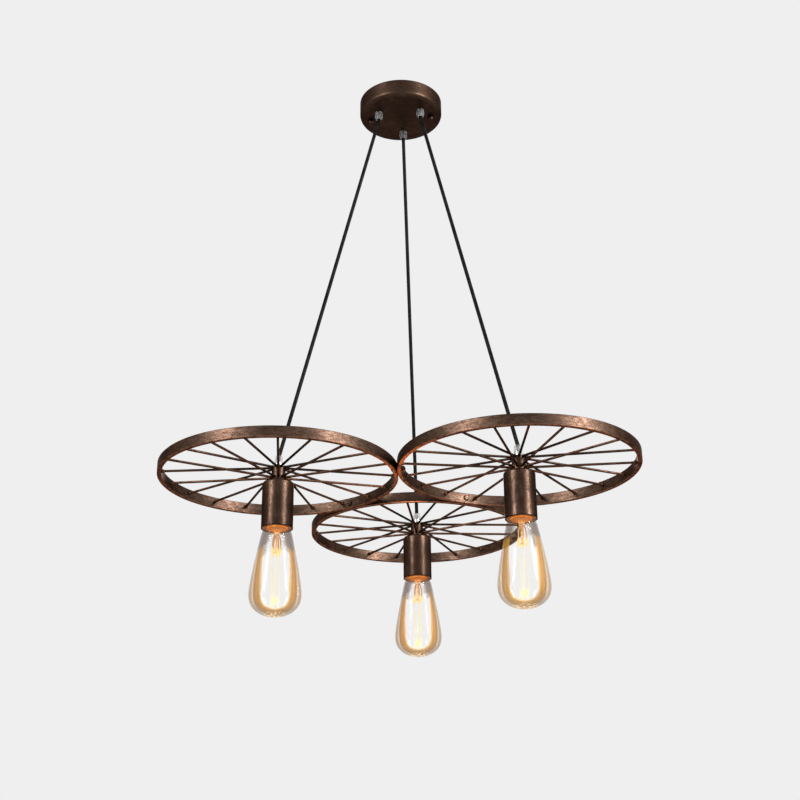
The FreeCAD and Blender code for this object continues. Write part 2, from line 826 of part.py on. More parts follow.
def canopy():
    """Round pan, open at the ceiling, with three cord outlets and two screw holes in its floor."""
    outer, wall, bend = size("canopy_radius"), size("canopy_wall"), size("canopy_round")
    inside = canopy_floor + wall
    body = turned_body("canopy", [
        (0, canopy_floor),
        (outer - bend, canopy_floor),
        (outer, canopy_floor + bend, bend, 1),
        (outer, 0),
        (outer - wall, 0),
        (outer - wall, canopy_floor + bend),
        (outer - bend, inside, bend - wall, -1),
        (0, inside),
    ])
    reach = size("outlet_circle").number
    angle = math.radians(AZIMUTH["back"])
    hole = drill(body, "outlet_hole", size("nipple_radius") + size("thread_clearance"), wall * 3,
                 Vector(reach * math.cos(angle), reach * math.sin(angle),
                        canopy_floor.number - wall.number))
    repeat_round(body, hole, "outlet_holes", as_size(len(WHEELS)))
    for side in (-1, 1):
        drill(body, "screw_hole_%d" % (side + 1),
              size("canopy_screw_radius") + size("thread_clearance"), wall * 3,
              Vector(side * size("canopy_screw_spacing").number / 2, 0,
                     canopy_floor.number - wall.number))
    return keep(body, "canopy")


def crossbar():
    """Flat bar on the ceiling with two slots for the ceiling screws and two tapped holes."""
    length, width, thick = size("crossbar_length"), size("crossbar_width"), size("crossbar_thickness")
    bar = doc.addObject("Part::Box", "crossbar_blank")
    bind(bar, "Length", length)
    bind(bar, "Width", width)
    bind(bar, "Height", thick)
    place(bar, -length.number / 2, -width.number / 2, -thick.number)
    tools = []
    slot_radius = size("slot_width") / 2
    straight = size("slot_length") - size("slot_width")
    for side in (-1, 1):
        middle = side * size("slot_spacing").number / 2
        for end in (-1, 1):
            tools.append(rod("slot_end_%d_%d" % (side + 1, end + 1), slot_radius, thick * 3,
                             Vector(middle + end * straight.number / 2, 0, -2 * thick.number)))
        slot = doc.addObject("Part::Box", "slot_%d" % (side + 1))
        bind(slot, "Length", straight)
        bind(slot, "Width", size("slot_width"))
        bind(slot, "Height", thick * 3)
        tools.append(place(slot, middle - straight.number / 2, -slot_radius.number,
                           -2 * thick.number))
        tools.append(rod("tapped_hole_%d" % (side + 1),
                         size("canopy_screw_radius") + size("thread_clearance"), thick * 3,
                         Vector(side * size("canopy_screw_spacing").number / 2, 0,
                                -2 * thick.number)))
    return keep(cut("crossbar", bar, tools), "crossbar")


def canopy_screw(side):
    """Ball-headed screw up through the canopy's floor into the crossbar."""
    x = side * size("canopy_screw_spacing").number / 2
    name = "canopy_screw_%d" % (side + 1)
    shank = rod_between(name + "_shank", size("canopy_screw_radius"),
                        Vector(x, 0, canopy_floor.number - size("ball_radius").number), Vector(x, 0, 0))
    ball = doc.addObject("Part::Sphere", name + "_ball")
    bind(ball, "Radius", size("ball_radius"))
    ball.Angle1 = -90
    bind(ball, "Angle2", size("ball_cut_angle"))
    flat = size("ball_radius").number * math.sin(math.radians(size("ball_cut_angle").number))
    place(ball, x, 0, canopy_floor.number - flat)
    return joined(name, [shank, ball])


def canopy_grip(wheel):
    """Cord grip under the canopy. Its threaded stem comes up through the floor."""
    stem_top = canopy_floor + size("canopy_wall") + size("stem_above_floor")
    depth, throat = size("mouth_depth"), size("throat_radius")
    name = "canopy_grip_" + wheel
    body = turned_body(name, [
        (throat, canopy_mouth + depth),
        (size("mouth_radius"), canopy_mouth),
        (size("grip_top_radius"), canopy_mouth),
        (size("grip_radius"), canopy_mouth + size("grip_shoulder")),
        (size("grip_radius"), canopy_floor),
        (size("nipple_radius"), canopy_floor),
        (size("nipple_radius"), stem_top),
        (throat, stem_top),
    ])
    spot = outlet(wheel, 0)
    return place(body, spot.x, spot.y, 0)


def terminal_block():
    """Strip of screw terminals on the canopy's floor, where the three cords meet the supply."""
    length, width, tall = size("terminal_length"), size("terminal_width"), size("terminal_height")
    floor = canopy_floor + size("canopy_wall")
    block = doc.addObject("Part::Box", "terminal_blank")
    bind(block, "Length", length)
    bind(block, "Width", width)
    bind(block, "Height", tall)
    place(block, -length.number / 2, -width.number / 2, floor.number)
    ways = int(size("terminal_ways").number)
    tools = []
    well_floor = floor + tall * 2 / 3
    for way in range(ways):
        x = (way - (ways - 1) / 2) * size("terminal_pitch").number
        for side in (-1, 1):
            tools.append(rod("terminal_well_%d_%d" % (way, side + 1), size("terminal_screw_radius"),
                             tall / 3 + size("cut_overrun"),
                             Vector(x, side * width.number / 4, well_floor.number)))
    return keep(cut("terminal_block", block, tools), "terminal_block")


def cord_tail(wheel):
    """The cord's core: up through the canopy grip, over a bend and into the terminal strip."""
    spot = outlet(wheel, canopy_mouth + size("cord_end_gap"))
    inward = -1 if spot.y > 0 else 1
    bend, radius = size("tail_bend").number, size("tail_radius").number
    level = (canopy_floor + size("canopy_wall") + size("terminal_height") * 3 / 4).number
    rise = Vector(spot.x, spot.y, level - bend)
    centre = rise + Vector(0, inward * bend, 0)
    halfway = centre + Vector(0, -inward, 1).normalize() * bend
    over = centre + Vector(0, 0, bend)
    face = Vector(spot.x, -inward * size("terminal_width").number / 2, level)
    route = Part.Wire([
        Part.LineSegment(spot, rise).toShape(),
        Part.Arc(rise, halfway, over).toShape(),
        Part.LineSegment(over, face).toShape(),
    ])
    section = Part.Wire([Part.Circle(spot, UP, radius).toShape()])
    tube = route.makePipeShell([section], True, False)
    thing = doc.addObject("Part::Feature", "cord_tail_" + wheel)
    thing.Shape = tube
    return thing


# ---- the whole cluster ------------------------------------------------------------------------

LOWER_TURN = {wheel: size("spoke_turn_" + wheel).number for wheel in WHEELS}
half_pitch = 180.0 / size("spokes_per_ring").number

leads = []
for wheel in WHEELS:
    rim(wheel)
    spoke_ring(wheel, "lower", size("lower_ring_level"), LOWER_TURN[wheel])
    spoke_ring(wheel, "upper", size("upper_ring_level"), LOWER_TURN[wheel] + half_pitch)
    hub(wheel)
    nipple(wheel)
    cord_grip(wheel)
    cord(wheel)
    socket_cover(wheel)
    lampholder(wheel)
    screw_shell(wheel)
    centre_contact(wheel)
    bulb_glass(wheel)
    bulb_cap(wheel)
    bulb_contact(wheel)
    bulb_stem(wheel)
    bulb_filament(wheel)
    leads += lamp_leads(wheel)

group("lamp_leads", leads)
group("nipple_nuts", [nipple_nut(wheel) for wheel in WHEELS])
group("grip_screws", [grip_screw(wheel) for wheel in WHEELS])
fasteners = [rim_bolt(first, second) for first, second in NEIGHBOURS]
group("rim_bolts", [bolt for bolt, nut in fasteners])
group("rim_nuts", [nut for bolt, nut in fasteners])

canopy()
crossbar()
group("canopy_screws", [canopy_screw(side) for side in (-1, 1)])
group("canopy_grips", [canopy_grip(wheel) for wheel in WHEELS])
group("grip_nuts", [
    hex_nut("grip_nut_" + wheel, size("nut_width"), size("nut_height"),
            size("nipple_radius") + size("thread_clearance"),
            outlet(wheel, canopy_floor + size("canopy_wall"))) for wheel in WHEELS])
terminal_block()
group("cord_tails", [cord_tail(wheel) for wheel in WHEELS])

doc.recompute()

# ---- checks and files -------------------------------------------------------------------------

for item in doc.Objects:
    if "Invalid" in item.State or "Error" in item.State:
        raise RuntimeError("%s did not build: %s" % (item.Label, item.State))
for item in sub_parts:
    if item.Shape.isNull() or not item.Shape.isValid():
        raise RuntimeError(item.Label + " has no valid shape")

os.makedirs("parts", exist_ok=True)
for item in sub_parts:
    item.Shape.exportStep(os.path.join("parts", item.Label + ".step"))
    print("%-24s %3d solids %12.1f mm3" % (item.Label, len(item.Shape.Solids), item.Shape.Volume))
print(len(sub_parts), "sub-parts")
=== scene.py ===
import json
import math

import bpy
from mathutils import Matrix, Vector


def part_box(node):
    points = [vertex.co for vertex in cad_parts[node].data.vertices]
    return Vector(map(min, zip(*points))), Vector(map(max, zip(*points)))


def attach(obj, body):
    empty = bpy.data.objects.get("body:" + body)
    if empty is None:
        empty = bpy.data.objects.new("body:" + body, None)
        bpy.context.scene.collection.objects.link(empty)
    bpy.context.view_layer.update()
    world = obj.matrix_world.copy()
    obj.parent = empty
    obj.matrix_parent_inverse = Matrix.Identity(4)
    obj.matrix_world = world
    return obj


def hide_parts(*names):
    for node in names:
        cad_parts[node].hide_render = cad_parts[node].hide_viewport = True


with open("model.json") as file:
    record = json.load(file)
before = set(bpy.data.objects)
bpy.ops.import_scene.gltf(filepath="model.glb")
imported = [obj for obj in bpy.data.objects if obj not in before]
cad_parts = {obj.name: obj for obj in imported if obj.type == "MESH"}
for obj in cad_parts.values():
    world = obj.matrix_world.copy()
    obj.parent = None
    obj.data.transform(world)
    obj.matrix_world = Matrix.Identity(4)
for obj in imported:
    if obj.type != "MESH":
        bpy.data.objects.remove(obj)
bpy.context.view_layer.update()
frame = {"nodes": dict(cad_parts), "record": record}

# A cluster pendant of three spoked wheels with lit bulbs, hung from a ceiling canopy, in metres.

MM = 0.001
WHEELS = ("left", "right", "back")
AZIMUTH = {"left": 210.0, "right": 330.0, "back": 90.0}


def middle(node):
    low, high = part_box(node)
    return (low + high) / 2


CENTRE = {wheel: middle("rim_" + wheel) for wheel in WHEELS}
WHEEL_LEVEL = CENTRE["left"].z


# ---- camera -----------------------------------------------------------------------------------

CAMERA_PLACE = Vector((0.1562, -1.5875, -1.144))
CAMERA_HEADING = 0.1012         # radians, turned left from +Y
CAMERA_PITCH = 0.3967           # radians above the horizon
CAMERA_ROLL = -0.0091           # radians
FOCAL_PIXELS = 1288.0
IMAGE_PIXELS = 800.0
SENSOR_WIDTH = 36.0


def set_camera():
    data = bpy.data.cameras.new("camera")
    data.sensor_width = SENSOR_WIDTH
    data.lens = SENSOR_WIDTH * FOCAL_PIXELS / IMAGE_PIXELS
    camera = bpy.data.objects.new("camera", data)
    bpy.context.scene.collection.objects.link(camera)
    turn = (Matrix.Rotation(CAMERA_HEADING, 4, "Z")
            @ Matrix.Rotation(math.pi / 2 + CAMERA_PITCH, 4, "X")
            @ Matrix.Rotation(CAMERA_ROLL, 4, "Z"))
    camera.matrix_world = Matrix.Translation(CAMERA_PLACE) @ turn
    bpy.context.scene.camera = camera


set_camera()


# ---- cords ------------------------------------------------------------------------------------

CORD_DIAMETER = 5 * MM
OUTLET_CIRCLE = 35 * MM         # radius of the circle of grips under the canopy
CANOPY_MOUTH = -37 * MM         # level of those grips' mouths
WHEEL_MOUTH = 24 * MM           # mouth of each wheel's grip above the wheel's middle
FITTING_RUN = 6 * CORD_DIAMETER
CORD_ROUNDNESS = 6


def hang_cord(wheel):
    """A taut cord, straight from the canopy's grip to the wheel's grip."""
    angle = math.radians(AZIMUTH[wheel])
    start = Vector((OUTLET_CIRCLE * math.cos(angle), OUTLET_CIRCLE * math.sin(angle), CANOPY_MOUTH))
    end = CENTRE[wheel] + Vector((0, 0, WHEEL_MOUTH))
    along = (end - start).normalized()
    route = (start, start + along * FITTING_RUN, end - along * FITTING_RUN, end)
    curve = bpy.data.curves.new("hanging_cord_" + wheel, "CURVE")
    curve.dimensions = "3D"
    line = curve.splines.new("NURBS")
    line.points.add(len(route) - 1)
    for point, spot in zip(line.points, route):
        point.co = (*spot, 1)
        point.radius = CORD_DIAMETER / 2
    line.order_u = 3
    line.use_endpoint_u = True
    curve.bevel_depth = 1.0     # times each point's radius
    curve.bevel_resolution = CORD_ROUNDNESS
    curve.use_fill_caps = True
    cord = bpy.data.objects.new("hanging_cord_" + wheel, curve)
    bpy.context.scene.collection.objects.link(cord)
    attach(cord, "cord_" + wheel)
    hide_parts("cord_" + wheel)
    return cord


cords = [hang_cord(wheel) for wheel in WHEELS]


# ---- shader values ----------------------------------------------------------------------------

class Value:
    """One output of a shader node. Arithmetic on it adds Math nodes to the same tree.
    A Value with no socket stands for the tree itself, and its nodes start from it."""

    def __init__(self, tree, socket=None):
        self.tree = tree
        self.socket = socket

    def node(self, kind, settings=None, inputs=None, output=0):
        """Adds any node: its settings first, then the values or links of its sockets."""
        made = self.tree.nodes.new("ShaderNode" + kind)
        for key, value in (settings or {}).items():
            if key == "stops":
                set_stops(made.color_ramp, value)
            else:
                setattr(made, key, value)
        for key, value in (inputs or {}).items():
            if isinstance(value, Value):
                self.tree.links.new(value.socket, made.inputs[key])
            else:
                made.inputs[key].default_value = value
        return Value(self.tree, made.outputs[output] if made.outputs else None)

    def math(self, operation, one, other):
        return self.node("Math", {"operation": operation}, {0: one, 1: other})

    def __add__(self, other):
        return self.math("ADD", self, other)

    def __sub__(self, other):
        return self.math("SUBTRACT", self, other)

    def __rsub__(self, other):
        return self.math("SUBTRACT", other, self)

    def __mul__(self, other):
        return self.math("MULTIPLY", self, other)

    __radd__ = __add__
    __rmul__ = __mul__

    def at_least(self, other):
        return self.math("MAXIMUM", self, other)

    def at_most(self, other):
        return self.math("MINIMUM", self, other)


def set_stops(ramp, stops):
    while len(ramp.elements) < len(stops):
        ramp.elements.new(1.0)
    for element, (place, colour) in zip(ramp.elements, stops):
        element.position = place
        element.color = (*colour, 1.0)


def grey_stops(pairs):
    return [(place, (value, value, value)) for place, value in pairs]


def rgb(red, green, blue):
    return (red, green, blue, 1.0)


def scaled(colour, share, lift=0.0):
    """A colour made lighter or darker in Python, kept within 1."""
    return tuple(min(1.0, part * share + lift) for part in colour[:3]) + (1.0,)


def empty_tree(owner):
    owner.use_nodes = True
    owner.node_tree.nodes.clear()
    return Value(owner.node_tree)


def finish_named(name):
    material = bpy.data.materials.new(name)
    return material, empty_tree(material)


def show(surface):
    surface.node("OutputMaterial", {}, {"Surface": surface})


def spot_on_piece(tree):
    """The point on the piece in metres. Every piece's origin is the frame's origin."""
    return tree.node("TexCoord", output="Object")


def height_of(spot):
    """The height of a spot above the wheels' middle level."""
    return spot.node("SeparateXYZ", {}, {0: spot}, output="Z") - WHEEL_LEVEL


def noise(spot, scale, detail=4.0, roughness=0.55, squash=(1.0, 1.0, 1.0)):
    """Grey noise, scale in lumps to the metre. A squash under 1 draws it out along that axis."""
    turned = spot.node("Mapping", {}, {"Vector": spot, "Scale": squash})
    return spot.node("TexNoise", {}, {"Vector": turned, "Scale": scale, "Detail": detail,
                                      "Roughness": roughness})


def edge_on(tree):
    """0 where a surface is seen square on, 1 where it is seen edge on."""
    return tree.node("LayerWeight", {}, {"Blend": 0.5}, output="Facing")


def band(value, low, high):
    """0 below low, 1 above high, smooth between them."""
    return value.node("MapRange", {"interpolation_type": "SMOOTHSTEP"},
                      {"Value": value, "From Min": low, "From Max": high})


def mix(factor, one, other):
    return factor.node("Mix", {"data_type": "RGBA"}, {"Factor": factor, 6: one, 7: other}, output=2)


def bumped(height, strength, depth):
    return height.node("Bump", {}, {"Strength": strength, "Distance": depth, "Height": height})


# ---- rust bronze ------------------------------------------------------------------------------

BRONZE_BLACK = rgb(0.008, 0.006, 0.005)
BRONZE_DEEP = rgb(0.018, 0.0100, 0.0070)
BRONZE = rgb(0.055, 0.0320, 0.0220)
BRONZE_PALE = rgb(0.118, 0.074, 0.054)
# Copper: worn metal, and along the rims' lower edges painted orange light of the bulbs.
COPPER = rgb(0.23, 0.100, 0.052)
EDGE_TINT = rgb(0.30, 0.24, 0.21)
CLOUDS_PER_METRE = 24.0
STREAKS_PER_METRE = 130.0
GRIT_PER_METRE = 800.0
FLAT_CLOUDS = (1.0, 1.0, 2.0)
LEVEL_GRAIN = (1.0, 1.0, 3.0)   # streaks along the level, and upright ones
UPRIGHT_GRAIN = (2.2, 2.2, 0.5)
CLOUDY = (0.32, 0.62)           # noise values over which each mark comes up
COPPERY = (0.34, 0.54)
PITTED = (0.38, 0.47)
PATCH_SOFTNESS = 0.13
FADE_INSIDE, FADE_OUTSIDE = 0.4 * MM, 0.8 * MM
BRONZE_RELIEF = 0.15 * MM


def above(height, level):
    """1 above a level, fading out a little below it."""
    return band(height, level - FADE_OUTSIDE, level + FADE_INSIDE)


def below(height, level):
    """1 below a level, fading out a little above it."""
    return 1.0 - band(height, level - FADE_INSIDE, level + FADE_OUTSIDE)


def rust_bronze(name, light, patches, copper, roughness=0.40, grain=LEVEL_GRAIN, black_below=None):
    """Antique rust bronze: dark brown metal, cloudy and streaked, rubbed pale, with a copper band.
    light is the share of lighter brown. patches is the share of pale patches and the noise value
    that they start from. copper is the levels that the copper band shows between, and its share;
    it is wear at the covers' tops, painted orange light of the bulbs at the rims' lower edges,
    and on the spokes it covers their lower part.
    Below black_below the metal is black. Levels are in metres from the wheels' middle."""
    patch_share, patch_start = patches
    copper_low, copper_high, copper_share = copper
    material, tree = finish_named(name)
    spot = spot_on_piece(tree)
    height = height_of(spot)
    clouds = noise(spot, CLOUDS_PER_METRE, 4.0, 0.6, FLAT_CLOUDS)
    streaks = noise(spot, STREAKS_PER_METRE, 6.0, 0.66, grain)
    grit = noise(spot, GRIT_PER_METRE, 3.0, 0.6)
    cloudy = band(clouds * 0.55 + streaks * 0.3 + grit * 0.15, *CLOUDY)
    base = mix((cloudy * 0.6 + 0.4) * light, BRONZE_DEEP, BRONZE)
    patchy = streaks * 0.6 + clouds * 0.2 + grit * 0.2
    worn = band(patchy, patch_start, patch_start + PATCH_SOFTNESS) * patch_share
    base = mix(worn, base, BRONZE_PALE)
    # Copper band between two levels: wear at the covers' tops, painted orange bulb light at the rims'
    # lower edges.
    copper_wear_and_glow = above(height, copper_low) * below(height, copper_high)
    base = mix(copper_wear_and_glow * band(streaks, *COPPERY) * copper_share, base, COPPER)
    pits = 1.0 - band(grit * 0.7 + streaks * 0.3, *PITTED)
    base = mix(pits * 0.6, base, BRONZE_BLACK)
    if black_below is not None:
        base = mix(below(height, black_below) * 0.9, base, BRONZE_BLACK)
    show(tree.node("BsdfPrincipled", {}, {
        "Base Color": base, "Metallic": 0.92 - pits * 0.3,
        "Roughness": roughness - worn * 0.04 + pits * 0.15,
        "Specular IOR Level": 0.12, "Specular Tint": EDGE_TINT,
        "Normal": bumped(streaks * 0.5 + grit * 0.5 - pits * 0.3, 0.22, BRONZE_RELIEF)}))
    return material


# ---- plastics and plain metals ----------------------------------------------------------------

NO_GLOW = rgb(0.0, 0.0, 0.0)
TONES_PER_METRE = 90.0
TONED = (0.35, 0.65)            # noise values over which each mark comes up
MOUTH_SPOTTED = (0.42, 0.62)
TARNISHED = (0.42, 0.68)
MOULDED_SPREAD, MOULDED_LIFT = 0.25, 0.004
MOULDED_RELIEF = 0.05 * MM
# Painted orange light of the lit bulb, in spots, at the lampholder's mouth.
PAINTED_MOUTH_LIGHT = rgb(0.46, 0.105, 0.016)
PAINTED_MOUTH_LIGHT_BRIGHT = rgb(0.95, 0.36, 0.09)
GLOW_FADE = 1.2 * MM
TURNED_PER_METRE, TURNED_RINGS = 260.0, (0.15, 0.15, 12.0)
TARNISH_PER_METRE = 120.0
PLATED_RELIEF = 0.04 * MM
GRIP_CLOUDS_PER_METRE = 350.0
GRIP_DEEP = rgb(0.22, 0.22, 0.22)
GRIP_PALE = rgb(0.42, 0.42, 0.43)
GRIP_EDGE = (0.15, 0.85)        # how far edge on, from clear to cloudy


def moulded(name, colour, roughness, grain=1400.0, shine=0.5, glow_above=None):
    """Moulded plastic or sheath: a faint grain and slight changes of tone.
    Above the level glow_above it glows orange with painted light of the lit bulb."""
    material, tree = finish_named(name)
    spot = spot_on_piece(tree)
    tone = noise(spot, TONES_PER_METRE, 3.0)
    fine = noise(spot, grain, 2.0)
    deep = scaled(colour, 1 - MOULDED_SPREAD)
    pale = scaled(colour, 1 + MOULDED_SPREAD, MOULDED_LIFT)
    inputs = {
        "Base Color": mix(band(tone, *TONED), deep, pale), "Specular IOR Level": shine,
        "Roughness": roughness + (fine - 0.5) * 0.12,
        "Normal": bumped(fine, 0.3, MOULDED_RELIEF)}
    # Painted light: the piece glows orange above the level glow_above.
    if glow_above is not None:
        lit = band(height_of(spot), glow_above, glow_above + GLOW_FADE) * 0.75 + 0.25
        spots = band(tone * 0.5 + fine * 0.5, *MOUTH_SPOTTED)
        inputs["Emission Color"] = mix(lit, NO_GLOW, mix(spots, PAINTED_MOUTH_LIGHT, PAINTED_MOUTH_LIGHT_BRIGHT))
        inputs["Emission Strength"] = 1.0
    show(tree.node("BsdfPrincipled", {}, inputs))
    return material


def plated(name, colour, roughness, tarnish):
    """Bare or plated metal with turned marks and some tarnish."""
    material, tree = finish_named(name)
    spot = spot_on_piece(tree)
    turned = noise(spot, TURNED_PER_METRE, 3.0, 0.5, TURNED_RINGS)
    dull = band(noise(spot, TARNISH_PER_METRE), *TARNISHED) * 0.5
    show(tree.node("BsdfPrincipled", {}, {
        "Base Color": mix(dull, colour, tarnish), "Metallic": 1.0,
        "Roughness": roughness + (turned - 0.5) * 0.18 + dull * 0.15,
        "Normal": bumped(turned, 0.2, PLATED_RELIEF)}))
    return material


def clear_plastic():
    """Clear moulded grip, cloudy grey where it is seen edge on."""
    material, tree = finish_named("clear_plastic")
    cloudy = noise(spot_on_piece(tree), GRIP_CLOUDS_PER_METRE, 3.0)
    show(tree.node("BsdfPrincipled", {}, {
        "Base Color": mix(cloudy, GRIP_DEEP, GRIP_PALE), "Roughness": 0.10 + cloudy * 0.14,
        "Alpha": band(edge_on(tree), *GRIP_EDGE) * 0.45 + cloudy * 0.16 + 0.10}))
    return material


# ---- glass and lit wire -----------------------------------------------------------------------

# The pale middle of this profile and its paler steps are painted light: glare of the wires and
# reflections on the glass.
AMBER_PROFILE = (               # how far edge on, then the amber's colour there
    (0.00, (0.70, 0.64, 0.52)),
    (0.190, (0.68, 0.46, 0.18)),
    (0.210, (0.56, 0.295, 0.026)),
    (0.26, (0.33, 0.155, 0.011)),
    (0.34, (0.42, 0.205, 0.026)),
    (0.43, (0.19, 0.095, 0.028)),
    (0.52, (0.50, 0.35, 0.17)),
    (0.58, (0.31, 0.195, 0.078)),
    (0.80, (0.22, 0.155, 0.090)),
    (1.00, (0.12, 0.09, 0.07)),
)
AMBER_DENSITY = (               # how far edge on, then how solid one skin of amber looks there
    (0.00, 0.002),
    (0.184, 0.006),
    (0.200, 0.40),
    (0.36, 0.44),
    (0.46, 0.36),
    (0.52, 0.15),
    (0.58, 0.28),
    (0.85, 0.28),
    (1.00, 0.60),
)
NECK_DENSITY = (                # the same for the clear neck
    (0.00, 0.01),
    (0.15, 0.02),
    (0.22, 0.30),
    (0.50, 0.34),
    (0.75, 0.22),
    (1.00, 0.50),
)
AMBER_FOOT = rgb(0.27, 0.195, 0.115)
NECK_PALE = rgb(0.15, 0.088, 0.050)
NECK_DEEP = rgb(0.075, 0.048, 0.031)
# Painted light of the wires: a dark throat that glows orange, and glints at the sealed tip.
THROAT_BROWN = rgb(0.20, 0.050, 0.010)
FLAME = rgb(0.72, 0.19, 0.022)
FLAME_SPARK = rgb(1.0, 0.62, 0.22)
FLAME_DEEP = rgb(0.66, 0.155, 0.016)
TIP_GLINT = rgb(1.0, 0.74, 0.44)
GLOSS = rgb(1.0, 0.97, 0.92)
GLASS_IOR = 1.42
GLASS_SHINE = 0.004             # the most that one skin mirrors
RIPPLES_PER_METRE, LONG_RIPPLES = 60.0, (1.0, 1.0, 0.35)
DROPS_PER_METRE = 420.0
GLINT_SPOTTED = (0.50, 0.58)         # noise values over which each mark comes up
SPARKS = (0.55, 0.64)
NECK_EDGE = (0.05, 0.8)         # how far edge on, from pale to deep
RIPPLE_WANDER, FINE_WANDER = 34 * MM, 6 * MM

NECK_END = (-100 * MM, -94 * MM)        # levels over which one look gives way to the next
WALLS_THIN = (-159 * MM, -137 * MM)
WALLS_SLOPE_FROM, WALLS_SLOPE = -140 * MM, 3.0
FOOT_ROUND = (-180 * MM, -162 * MM)
TIP_ROUND = (-180 * MM, -176 * MM)
THROAT = (-73.5 * MM, -70.5 * MM)
THROAT_INSIDE = (-70.5 * MM, -66 * MM)


def amber_glass():
    """Blown amber glass, clear at the neck. It is dense and warm where it is seen edge on, with
    paler steps there that are painted reflections. The amber glows faintly and its throat orange,
    painted light of the wires, and its sealed tip has painted glints."""
    material, tree = finish_named("amber_glass")
    spot = spot_on_piece(tree)
    height = height_of(spot)
    ripple = noise(spot, RIPPLES_PER_METRE, 3.0, 0.5, LONG_RIPPLES) - 0.5
    fine = noise(spot, DROPS_PER_METRE, 3.0)
    edge = edge_on(tree)
    shoulder = (band(height, *WALLS_THIN) * 0.08
                + ((height - WALLS_SLOPE_FROM) * WALLS_SLOPE).at_least(0.0))
    foot = 1.0 - band(height, *FOOT_ROUND)
    wavy = edge + ripple * 0.03 + 0.03 - shoulder - foot * 0.227
    wander = ripple * RIPPLE_WANDER + (fine - 0.5) * FINE_WANDER
    amber = 1.0 - band(height + wander, *NECK_END)
    throat = band(height, *THROAT)
    # Painted glints at the sealed tip.
    glint_spots = band(fine, *GLINT_SPOTTED) * (1.0 - band(height, *TIP_ROUND))
    tint = mix(foot * 0.45, tree.node("ValToRGB", {"stops": AMBER_PROFILE}, {0: wavy}), AMBER_FOOT)
    neck = mix(band(edge, *NECK_EDGE), NECK_PALE, NECK_DEEP)
    thick = tree.node("ValToRGB", {"stops": grey_stops(AMBER_DENSITY)}, {0: wavy})
    thin = tree.node("ValToRGB", {"stops": grey_stops(NECK_DENSITY)}, {0: edge})
    solid = tree.node("SeparateColor", {}, {0: mix(amber, thin, thick)})
    # Painted light of the wires: orange in the throat, a faint glow in the amber, glints at the tip.
    flame = mix(band(fine, *SPARKS), FLAME, FLAME_SPARK)
    flame = mix(band(height, *THROAT_INSIDE), flame, FLAME_DEEP)
    glow = mix(glint_spots, mix(amber * 0.10, NO_GLOW, tint), TIP_GLINT)
    body = tree.node("BsdfPrincipled", {}, {
        "Base Color": mix(throat, mix(amber, neck, tint), THROAT_BROWN),
        "Roughness": 0.06 + fine * 0.05, "Alpha": solid + throat * 0.45 + glint_spots * 0.45,
        "Specular IOR Level": 0.0,
        "Emission Color": mix(throat, glow, flame), "Emission Strength": 1.0})
    gloss = tree.node("BsdfAnisotropic", {}, {"Color": GLOSS, "Roughness": 0.05})
    shine = (tree.node("Fresnel", {}, {"IOR": GLASS_IOR}) * 0.5).at_most(GLASS_SHINE)
    show(tree.node("MixShader", {}, {0: shine, 1: body, 2: gloss}))
    return material


STEM_DEEP = rgb(0.14, 0.045, 0.010)
STEM_PALE = rgb(0.30, 0.13, 0.040)
# Painted light of the wires on the stem: a glow, glints under the flare and a glow at the press.
STEM_GLOW = rgb(0.42, 0.13, 0.022)
FLARE_GLOW = rgb(0.70, 0.20, 0.024)
FLARE_GLINT = rgb(1.0, 0.80, 0.40)
PRESS_GLOW = rgb(1.0, 0.70, 0.16)
STEM_DROPS_PER_METRE, STEM_CLOUDS_PER_METRE = 480.0, 130.0
PRESS_GLOW_SPOTTED = (0.40, 0.60)
STEM_EDGE = (0.2, 0.9)
FLARE = (-78 * MM, -74 * MM)
FLARE_GLINT_LEVELS = (-90 * MM, -80 * MM)
PRESSED = (-88 * MM, -80 * MM)


def stem_glass():
    """Pinched brown glass stem, with painted light of the wires: a glow, bright glints under its
    flare and a bright glow at its press.
    """
    material, tree = finish_named("stem_glass")
    spot = spot_on_piece(tree)
    height = height_of(spot)
    glint_spots = noise(spot, STEM_DROPS_PER_METRE, 2.0, 0.5)
    cloudy = noise(spot, STEM_CLOUDS_PER_METRE)
    flare = band(height, *FLARE)
    # Painted glints under the flare and a painted glow at the press, light of the wires.
    flare_glints = band(glint_spots, *GLINT_SPOTTED) * band(height, *FLARE_GLINT_LEVELS) * (1.0 - flare * 0.8)
    press = (1.0 - band(height, *PRESSED)) * band(glint_spots, *PRESS_GLOW_SPOTTED)
    glow = mix(flare_glints, mix(flare, STEM_GLOW, FLARE_GLOW), FLARE_GLINT)
    show(tree.node("BsdfPrincipled", {}, {
        "Base Color": mix(cloudy, STEM_DEEP, STEM_PALE), "Roughness": 0.12 + cloudy * 0.1,
        "Alpha": 0.55 + band(edge_on(tree), *STEM_EDGE) * 0.25 + flare_glints * 0.2,
        "Specular IOR Level": 0.2,
        "Emission Color": mix(press, glow, PRESS_GLOW), "Emission Strength": 1.0}))
    return material


WIRE_COOL, WIRE_HOT = rgb(0.66, 0.55, 0.30), rgb(1.0, 0.75, 0.38)
HOOK_GLOW = rgb(1.0, 0.60, 0.10)
LEAD_GLOW = rgb(0.34, 0.13, 0.035)
WIRE_DULL, WIRE_BRIGHT = rgb(0.16, 0.13, 0.08), rgb(0.30, 0.24, 0.12)
UNEVEN_PER_METRE = 260.0
WIRE_HEAT = (-166 * MM, -150 * MM)
HOOKS_BEGIN = (-108 * MM, -103 * MM)
LEADS_BEGIN = (-99 * MM, -93 * MM)
HEAT_WANDER, LEAD_WANDER = 12 * MM, 8 * MM


